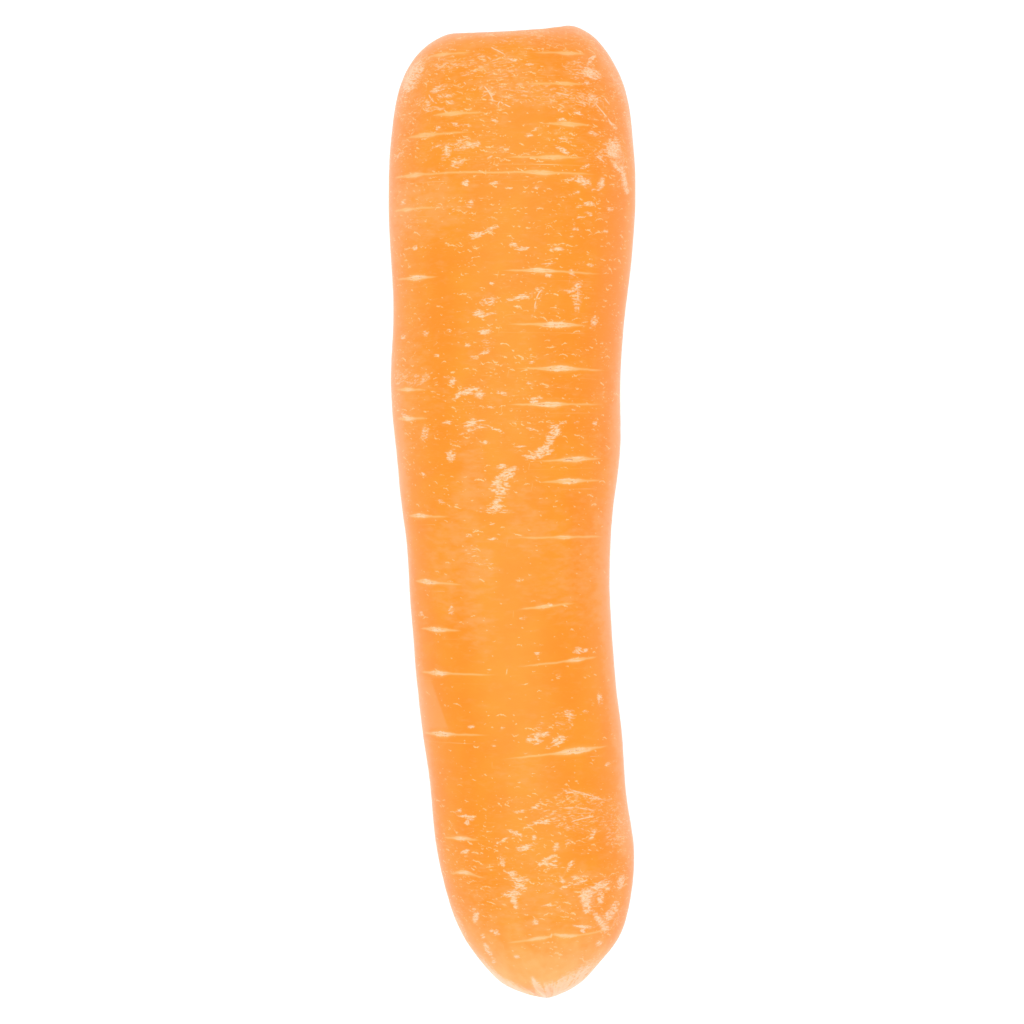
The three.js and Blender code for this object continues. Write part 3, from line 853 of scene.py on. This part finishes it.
def lay_skin(places, marks, sides, rows):
    """A grid wrapped round the root: each of its corners moves to its place and takes its marks."""
    skin = bmesh.new()
    skin.loops.layers.uv.new("OFBake")
    bmesh.ops.create_grid(skin, x_segments=sides, y_segments=rows, size=0.5, calc_uvs=True)
    kinds = skin.verts.layers
    layers = {
        name: (kinds.float if values.ndim == 2 else kinds.float_vector).new(name)
        for name, values in marks.items()
    }
    for corner in skin.verts:
        side = round((corner.co.x + 0.5) * sides) % sides
        row = round((corner.co.y + 0.5) * rows)
        corner.co = places[row, side]
        for name, layer in layers.items():
            corner[layer] = marks[name][row, side]
    bmesh.ops.remove_doubles(skin, verts=skin.verts, dist=MERGE)
    for face in skin.faces:
        face.smooth = True
    return skin


def mark_root(surface):
    """The corners' marks, the scars' creases from 0 to 1 and the crown's relief in metres."""
    rng = np.random.default_rng(SEED)
    marks, crease = mark_scars(surface, [*upper_scars(surface), *under_scars(rng)])
    marks |= mark_scratches(surface)
    stalks, marks["stalk"] = crown_relief(surface)
    under_scuffs = under_patches(rng, *UNDER_SCUFFS)
    under_hazes = under_patches(rng, *UNDER_HAZES)
    under_tones = under_patches(rng, *UNDER_TONES)
    marks["wear"] = np.interp(surface.places[..., 1] / MM, *zip(*WEAR))
    marks["scuff"] = driest_patch(surface, UPPER_SCUFFS, under_scuffs)
    # Pale patches: dull skin, and painted sheen in strips down both flanks
    marks["haze_and_edge_sheen"] = sum_of_patches(surface, UPPER_HAZES_AND_EDGE_SHEEN, under_hazes)
    marks["bleach"] = sum_of_patches(surface, UPPER_BLEACHES, UPPER_BLEACHES)
    marks["peel"] = inside_peel(surface)
    marks["tone"] = sum_of_patches(surface, UPPER_TONES, under_tones)
    marks["from_crown"] = surface.from_crown / MM
    marks["from_tip"] = surface.from_tip / MM
    marks["way_round"] = surface.ways_round()
    return marks, crease, stalks


class CARROT_OT_root(bpy.types.Operator):
    """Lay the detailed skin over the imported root."""

    bl_idname = "carrot.root"
    bl_label = "Carrot Root"

    def execute(self, context):
        sizes = context.scene.carrot_root
        surface = Surface(NODE, sizes.sides, sizes.rows)
        marks, crease, stalks = mark_root(surface)
        places = skin_places(surface, sizes, crease, stalks)
        skin = lay_skin(places, marks, sizes.sides, sizes.rows)
        mesh = bpy.data.meshes.new("root_skin")
        skin.to_mesh(mesh)
        skin.free()
        if len(mesh.polygons) == 0:
            raise RuntimeError("the skin has no faces")
        mesh.materials.append(carrot_skin(context.scene.carrot_colours))
        root = bpy.data.objects.new("root_skin", mesh)
        context.scene.collection.objects.link(root)
        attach(root, "root")
        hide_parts(NODE)
        return {"FINISHED"}


# ---- Materials -------------------------------------------------------------------------------


class Value:
    """A number that varies over the surface. Sums on it add the Math nodes that work it out."""

    def __init__(self, tree, socket):
        self.tree, self.socket = tree, socket

    def maths(self, operation, *terms):
        """What a Math node with this operation makes of these numbers and values."""
        node = self.tree.nodes.new("ShaderNodeMath")
        node.operation = operation
        for socket, term in zip(node.inputs, terms):
            give(self.tree, socket, term)
        return Value(self.tree, node.outputs[0])

    def __add__(self, other):
        return self.maths("ADD", self, other)

    __radd__ = __add__

    def __sub__(self, other):
        return self.maths("SUBTRACT", self, other)

    def __rsub__(self, other):
        return self.maths("SUBTRACT", other, self)

    def __mul__(self, other):
        return self.maths("MULTIPLY", self, other)

    __rmul__ = __mul__

    def __truediv__(self, other):
        return self.maths("DIVIDE", self, other)

    def __rtruediv__(self, other):
        return self.maths("DIVIDE", other, self)

    def __pow__(self, other):
        return self.maths("POWER", self, other)

    def __rpow__(self, other):
        return self.maths("POWER", other, self)

    def __abs__(self):
        return self.maths("ABSOLUTE", self)

    def at_least(self, other):
        """The larger of this and the other."""
        return self.maths("MAXIMUM", self, other)

    def at_most(self, other):
        """The smaller of this and the other."""
        return self.maths("MINIMUM", self, other)


def give(tree, socket, value):
    """Sets a socket to a number or colour, or links it to a value or another node's socket."""
    if isinstance(value, Value):
        tree.links.new(value.socket, socket)
    elif isinstance(value, bpy.types.NodeSocket):
        tree.links.new(value, socket)
    elif socket.type == "RGBA" and len(value) == 3:
        socket.default_value = (*value, 1)
    else:
        socket.default_value = value


class Finish:
    """A material's nodes, each made by one call."""

    def __init__(self, name):
        self.material = bpy.data.materials.new(name)
        self.material.use_nodes = True
        self.tree = self.material.node_tree
        self.tree.nodes.clear()
        self.place = self.node("TexCoord").outputs["Object"]

    def node(self, kind, settings=None, inputs=None):
        """Adds a node of this type, with its settings first and then what its sockets take."""
        node = self.tree.nodes.new("ShaderNode" + kind)
        for name, value in (settings or {}).items():
            setattr(node, name, value)
        for name, value in (inputs or {}).items():
            give(self.tree, node.inputs[name], value)
        return node

    def mark(self, name):
        """The value of a mark on the mesh's corners."""
        node = self.node("Attribute", {"attribute_name": name})
        return Value(self.tree, node.outputs["Fac"])

    def way_round(self):
        """The direction round the root, which the mesh's corners also carry."""
        return self.node("Attribute", {"attribute_name": "way_round"}).outputs["Vector"]

    def vector(self, operation, *terms):
        """What one calculation with vectors gives."""
        node = self.node("VectorMath", {"operation": operation}, dict(enumerate(terms)))
        if operation == "DOT_PRODUCT":
            return Value(self.tree, node.outputs["Value"])
        return node.outputs["Vector"]

    def scaled(self, size):
        """Object coordinates counted in these sizes, given in mm along X, Y and Z."""
        return self.vector("MULTIPLY", self.place, tuple(1 / (part * MM) for part in size))

    def noise(self, vector, detail, rough=0.5):
        """Noise from 0 to 1, about 0.5 on average."""
        sockets = {"Vector": vector, "Scale": 1.0, "Detail": detail, "Roughness": rough}
        node = self.node("TexNoise", {"noise_dimensions": "3D"}, sockets)
        return Value(self.tree, node.outputs[0])

    def step(self, low, high, value):
        """0 below low, 1 above high and an even curve between, or falling where low is above high."""
        rising = low < high
        sockets = {
            "Value": value,
            "From Min": low if rising else high,
            "From Max": high if rising else low,
            "To Min": 0.0 if rising else 1.0,
            "To Max": 1.0 if rising else 0.0,
        }
        node = self.node("MapRange", {"interpolation_type": "SMOOTHSTEP"}, sockets)
        return Value(self.tree, node.outputs[0])

    def mix(self, share, colour, other):
        """A colour between two, by a share from 0 to 1."""
        node = self.node("Mix", {"data_type": "RGBA"}, {0: share, 6: colour, 7: other})
        return node.outputs[2]

    def combined(self, x, y, z):
        """A vector of three numbers."""
        return self.node("CombineXYZ", None, {"X": x, "Y": y, "Z": z}).outputs[0]

    def split(self, vector):
        """A vector's or colour's three numbers."""
        node = self.node("SeparateXYZ", None, {0: vector})
        return [Value(self.tree, output) for output in node.outputs]

    def shaded(self, sockets):
        """The material, ended in a Principled shader whose sockets take these."""
        shader = self.node("BsdfPrincipled", None, sockets)
        self.node("OutputMaterial", None, {"Surface": shader.outputs[0]})
        return self.material


def scar_paint(finish):
    """The root scars, from 0 to 1: how pale they are, their bright fibres and their dark cracks."""
    along = finish.mark("scar_along")
    reach = finish.mark("scar_reach")
    width = finish.mark("scar_width")
    near = finish.mark("scar_near")
    waver = finish.noise(finish.scaled((2.2, 40, 2.2)), 2) - 0.5
    across = finish.mark("scar_across") + waver * 0.3
    belly = (1 - (reach / (width * BELLY)) ** 2).at_least(0.0) ** 2
    taper = finish.step(1.0, 0.6, abs(along))
    along_root = finish.split(finish.place)[1] * (0.3 / MM)
    fray = finish.noise(finish.combined(reach * 1.4, across * 0.8, along_root), 2, 0.6) - 0.5
    share = abs(across) / (width * belly * 0.27 + taper * 0.08 + 0.06) + fray * (belly + 0.2)
    glow = finish.step(1.0, 0.0, abs(across) / (width * belly * 0.6 + taper * 0.28 + 0.06))
    strands = finish.noise(finish.combined(reach * 0.5, across * 5.0, along_root), 2, 0.6)
    strands = finish.step(0.44, 0.6, strands + belly * 0.04) * 0.75 + 0.25
    fresh = finish.step(50.0, 36.0, finish.mark("from_crown"))  # scars near the crown are less dry
    bright = finish.step(1.05, 0.6, share) * strands * (belly * 0.85 + 0.08)
    bright = bright * (1 - fresh * 0.7) * finish.step(0.3, 1.1, width) * taper * near
    dash = finish.noise(finish.combined(reach * 1.3, across * 1.5, along_root), 2, 0.7)
    crack = finish.step(0.13, 0.03, abs(across + waver * 0.3)) * finish.step(0.35, 0.8, belly)
    crack = crack * finish.step(0.5, 0.62, dash) * finish.step(0.8, 1.25, width) * near
    body = finish.step(1.2, 0.7, share) * (belly * 0.15 + 0.55)
    return body.at_least(glow * 0.36) * taper * near, bright, crack


def flakes(finish, size, seed):
    """Noise in small slivers that mostly lie across the root and lean a little to either side."""
    lean = finish.noise(finish.scaled((3.0,) * 3), 1) - 0.5
    shift = finish.combined(seed, lean * (1.3 / size[1]), seed)
    return finish.noise(finish.vector("ADD", finish.scaled(size), shift), 3, 0.62)


def strokes(finish, frayed, cell, length, width, chance, seed):
    """Ragged strokes, at most one to a cell, each with its own slant, bow, size and strength.

    The cell's size and half a stroke's length and width are in mm, and chance is about the share of
    the cells that hold a stroke.
    """
    place = finish.vector("MULTIPLY_ADD", frayed, (1 / cell,) * 3, (seed,) * 3)
    cells = finish.node(
        "TexVoronoi", {"voronoi_dimensions": "3D"}, {"Vector": place, "Scale": 1.0, "Randomness": 0.9}
    )
    offset = finish.vector("SUBTRACT", place, cells.outputs["Position"])
    turn, size, lot = finish.split(cells.outputs["Color"])
    slant = turn * 0.9 - 0.32
    round_root = finish.vector("DOT_PRODUCT", offset, finish.way_round())
    along_root = finish.split(offset)[1]
    long = (round_root + along_root * slant) / ((size * 0.9 + 0.5) * (length / cell))
    bow = (size - 0.5) * long * long * (length / cell) * 1.4
    short = (along_root - round_root * slant + bow) / ((turn * 0.6 + 0.7) * (width / cell))
    shape = finish.step(1.0, 0.4, long * long + short * short)
    chosen = ((chance - lot) * 14 / (chance + 0.05)).at_most(1.0).at_least(0.0)
    return shape * chosen


def scuff_paint(finish, grit):
    """How dry the skin is, from 0 to 1: in patches, and in strokes and specks between them."""
    dryness = finish.mark("scuff")
    wear = finish.mark("wear")
    slivers = flakes(finish, (1.0, 0.27, 1.0), 3.1) - 0.5
    patches = finish.step(0.44, 0.57, slivers * 1.6 + dryness)
    patches = patches * (finish.step(0.38, 0.56, grit) * 0.6 + 0.4)
    patches = patches * (finish.step(0.25, 0.6, dryness) * 0.7 + 0.3)
    clumps = finish.noise(finish.scaled((5.0, 3.0, 5.0)), 2)
    amount = (wear * finish.step(0.3, 0.62, clumps)).at_least(finish.step(0.1, 0.6, dryness) * 0.9)
    threads = finish.scaled((0.32, 0.2, 0.32))
    fray = finish.node("TexNoise", None, {"Vector": threads, "Scale": 1.0, "Detail": 1.0})
    shift = fray.outputs["Color"]
    frayed = finish.vector("MULTIPLY_ADD", shift, (0.4,) * 3, finish.scaled((1,) * 3))
    # Long strokes, short ones and specks, each kind in finer cells than the last
    marks = strokes(finish, frayed, 2.0, 0.95, 0.11, amount * 0.65, 0.0)
    marks = marks.at_least(strokes(finish, frayed, 1.2, 0.5, 0.09, amount * 0.7 + 0.01, 7.3) * 0.9)
    marks = marks.at_least(strokes(finish, frayed, 0.7, 0.2, 0.07, amount * 0.45 + 0.03, 3.9) * 0.8)
    fibres = finish.noise(finish.scaled((1.3, 0.15, 1.3)), 2, 0.6)
    fibres = finish.step(0.58, 0.72, fibres + amount * 0.06) * amount * 0.45
    shown = finish.step(0.2, 0.55, grit)
    dull = finish.step(0.2, 0.9, dryness + slivers)
    return patches, marks.at_least(fibres) * shown, dull


def scratch_paint(finish):
    """Thin pale scratches, from 0 to 1."""
    wobble = finish.noise(finish.scaled((1.0,) * 3), 2) - 0.5
    across = abs(finish.mark("scratch_across") + wobble * 0.22)
    along = abs(finish.mark("scratch_along"))
    line = finish.step(0.13, 0.05, across) * finish.step(1.05, 0.75, along)
    return line * finish.mark("scratch_near") * finish.step(0.3, 0.48, wobble + 0.5)


def tip_paint(finish, ragged):
    """The tip's paleness, bleached nose, furrows and tail's scar, from 0 to 1, and its streaks."""
    from_tip = finish.mark("from_tip")
    way = finish.way_round()
    rays = finish.vector("MULTIPLY_ADD", way, (2.2,) * 3, finish.scaled((9,) * 3))
    rays = finish.noise(rays, 3, 0.6)
    pale = finish.step(25.0, -2.0, from_tip + ragged * 8 + (rays - 0.5) * 12)
    grooved = finish.step(0.54, 0.7, rays).at_least(finish.step(-0.4, -0.9, finish.mark("tone")))
    furrows = grooved * finish.step(9.0, 4.0, from_tip) * finish.step(0.8, 2.5, from_tip)
    tail = finish.step(1.9, 0.7, from_tip + ragged * 1.6 + (rays - 0.5) * 4)
    fine = finish.vector("MULTIPLY_ADD", way, (11,) * 3, finish.scaled((5,) * 3))
    fine = finish.noise(fine, 2, 0.6)
    streaks = ((rays - 0.5) * 3 + (fine - 0.5) * 4) * finish.step(18.0, 8.0, from_tip)
    nose = finish.step(8.0, 3.0, from_tip) * 0.5
    return pale, nose, furrows, tail, streaks


def carrot_skin(colours):
    """Satin orange skin with pale scars, dry scuffs, a pale tip and the stalks' stub."""
    finish = Finish("carrot_skin")

    # The flesh's tones, its dull haze, and the painted sheen down its flanks
    bands = finish.noise(finish.scaled((6.0, 40.0, 6.0)), 2)
    clouds = finish.noise(finish.scaled((5.0, 4.0, 5.0)), 3)
    grain = finish.noise(finish.scaled((2.5, 0.45, 2.5)), 2, 0.6)
    depth = finish.step(0.3, 0.72, bands * 0.5 + clouds * 0.5 + finish.mark("tone") * 0.14)
    colour = finish.mix(depth, colours.deep, colours.flesh)
    wisps = finish.noise(finish.scaled((2.6, 1.1, 2.6)), 3, 0.65)
    # Painted sheen: the pale strips down both flanks give the edges a veil like glancing light; the
    # other pale patches are dull skin
    haze_and_edge_sheen_share = wisps * 0.7 + finish.mark("haze_and_edge_sheen") * 0.3 + finish.mark("wear") * 0.08
    colour = finish.mix(finish.step(0.36, 0.7, haze_and_edge_sheen_share) * 0.6, colour, colours.haze_and_edge_sheen)

    # The tip, the bleached places and the peeled one
    ragged = finish.noise(finish.scaled((2.0,) * 3), 3) - 0.5
    tip, nose, furrows, tail, streaks = tip_paint(finish, ragged)
    colour = finish.mix(tip, colour, colours.tip)
    powder = finish.noise(finish.scaled((0.5, 0.28, 0.5)), 3, 0.7) - 0.5
    bleach = finish.step(0.1, 0.95, finish.mark("bleach").at_least(nose) * (1 + powder * 4.5 + streaks))
    colour = finish.mix(bleach * 0.85, colour, colours.scuff)
    colour = finish.mix(finish.step(-0.1, 0.3, finish.mark("peel")) * 0.5, colour, colours.haze_and_edge_sheen)
    colour = finish.mix(furrows * 0.65, colour, colours.deep)

    # Scars, dry patches, small marks and scratches
    scars, fibres, cracks = scar_paint(finish)
    grit = finish.noise(finish.scaled((0.45, 0.22, 0.45)), 2, 0.6)
    patches, marks, dull = scuff_paint(finish, grit)
    scratches = scratch_paint(finish)
    colour = finish.mix(dull * 0.45, colour, colours.haze_and_edge_sheen)
    colour = finish.mix(scars.at_least(marks * 0.85), colour, colours.scar)
    dry = fibres.at_least(patches).at_least(marks * 0.3).at_least(scratches * 0.8)
    colour = finish.mix(dry * 0.82, colour, colours.scuff)
    colour = finish.mix(cracks * 0.75, colour, colours.crack)

    # The stub of the leaf stalks with painted shade in the gaps between them, the green round it and the
    # tail's scar
    from_crown = finish.mark("from_crown")
    stalk = finish.mark("stalk") + powder * 0.9
    stub = finish.step(7.0, 5.6, from_crown + ragged * 1.5)
    green = finish.step(11.0, 6.0, from_crown + ragged * 5)
    colour = finish.mix(stub.at_least(green * 0.25), colour, colours.stalk)
    colour = finish.mix(stub * finish.step(0.7, 1.3, stalk) * 0.2, colour, colours.scuff)
    # Painted shade: darkens the gaps between the stalks' domes, where the relief sinks
    colour = finish.mix(stub * finish.step(0.8, 0.0, stalk) * 0.5, colour, colours.husk_and_gap_shade)
    colour = finish.mix(tail * 0.5, colour, colours.husk_and_gap_shade)

    # Gloss and the finest relief
    rough = 0.46 + patches * 0.3
    height = grain * 0.6 + grit * 0.2
    bump = finish.node("Bump", None, {"Strength": 0.4, "Distance": 0.12 * MM, "Height": height})
    sockets = {
        "Base Color": colour,
        "Roughness": rough,
        "Normal": bump.outputs[0],
        "IOR": 1.42,
        "Sheen Weight": 0.34,
        "Sheen Roughness": 0.3,
    }
    return finish.shaded(sockets)


def pale_floor(floor_light):
    """A matt pale floor that glows, like a light table."""
    sockets = {
        "Base Color": (0.35, 0.35, 0.35),
        "Roughness": 0.9,
        "Emission Color": (1, 1, 1),
        "Emission Strength": floor_light,
    }
    return Finish("pale_floor").shaded(sockets)


# ---- Studio ----------------------------------------------------------------------------------

FLOOR_GAP = 0.1 * MM  # between the root and the floor, so that the two don't share a plane
SOFTBOX_WIDTH = 2.0  # metres
SOFTBOX_PLACE = (-0.1, 0, 1.3)  # metres


def lay_floor(scene, sizes):
    """A wide pale sheet just under the root."""
    sheet = bmesh.new()
    bmesh.ops.create_grid(sheet, x_segments=1, y_segments=1, size=sizes.floor_width / 2)
    bmesh.ops.translate(sheet, verts=sheet.verts, vec=(0, 0, -FLOOR_GAP))
    mesh = bpy.data.meshes.new("studio_floor")
    sheet.to_mesh(mesh)
    sheet.free()
    mesh.materials.append(pale_floor(sizes.floor_light))
    floor = bpy.data.objects.new("studio_floor", mesh)
    scene.collection.objects.link(floor)


def light_sky(scene, strength):
    """Even white light from all round."""
    world = bpy.data.worlds.new("studio_sky")
    world.use_nodes = True
    background = world.node_tree.nodes["Background"]
    background.inputs["Color"].default_value = (1, 1, 1, 1)
    background.inputs["Strength"].default_value = strength
    scene.world = world


def hang_softbox(scene, power):
    """A large square light overhead."""
    data = bpy.data.lights.new("studio_softbox", "AREA")
    data.shape = "RECTANGLE"
    data.size = data.size_y = SOFTBOX_WIDTH
    data.energy = power
    softbox = bpy.data.objects.new("studio_softbox", data)
    softbox.location = SOFTBOX_PLACE
    scene.collection.objects.link(softbox)


def set_camera(scene, sizes):
    """A camera straight above, with the crown at the top of its view."""
    data = bpy.data.cameras.new("studio_camera")
    data.lens = sizes.lens
    distance = sizes.field * data.lens / data.sensor_width
    camera = bpy.data.objects.new("studio_camera", data)
    middle = (SOLID_BOX[0] + SOLID_BOX[1]) / 2
    camera.location = (middle.x, middle.y + sizes.aim, middle.z + distance)
    scene.collection.objects.link(camera)
    scene.camera = camera


class CARROT_OT_studio(bpy.types.Operator):
    """Set up the floor, the lights and the camera."""

    bl_idname = "carrot.studio"
    bl_label = "Studio"

    def execute(self, context):
        scene = context.scene
        sizes = scene.carrot_studio
        lay_floor(scene, sizes)
        light_sky(scene, sizes.sky_light)
        hang_softbox(scene, sizes.softbox_power)
        set_camera(scene, sizes)
        scene.view_settings.view_transform = "Standard"
        return {"FINISHED"}


class CARROT_PT_panel(bpy.types.Panel):
    """The carrot's operators, in the order in which they run."""

    bl_idname = "CARROT_PT_panel"
    bl_label = "Carrot"
    bl_space_type = "VIEW_3D"
    bl_region_type = "UI"
    bl_category = "Carrot"

    def draw(self, context):
        for operator in OPERATORS:
            self.layout.operator(operator.bl_idname)
        for name in GROUPS:
            settings = getattr(context.scene, name)
            box = self.layout.box()
            for field in settings.__annotations__:
                box.prop(settings, field)


GROUPS = {"carrot_root": RootSizes, "carrot_colours": SkinColours, "carrot_studio": StudioSizes}
OPERATORS = (CARROT_OT_root, CARROT_OT_studio)
CLASSES = (*GROUPS.values(), *OPERATORS, CARROT_PT_panel)


def register():
    """Adds the classes, and their settings to every scene."""
    for cls in CLASSES:
        bpy.utils.register_class(cls)
    for name, group in GROUPS.items():
        setattr(bpy.types.Scene, name, PointerProperty(type=group))


def unregister():
    """Takes away what register added."""
    for name in GROUPS:
        delattr(bpy.types.Scene, name)
    for cls in reversed(CLASSES):
        bpy.utils.unregister_class(cls)


def main():
    """Builds the root and its studio."""
    register()
    bpy.ops.carrot.root()
    bpy.ops.carrot.studio()


if __name__ == "__main__":
    main()
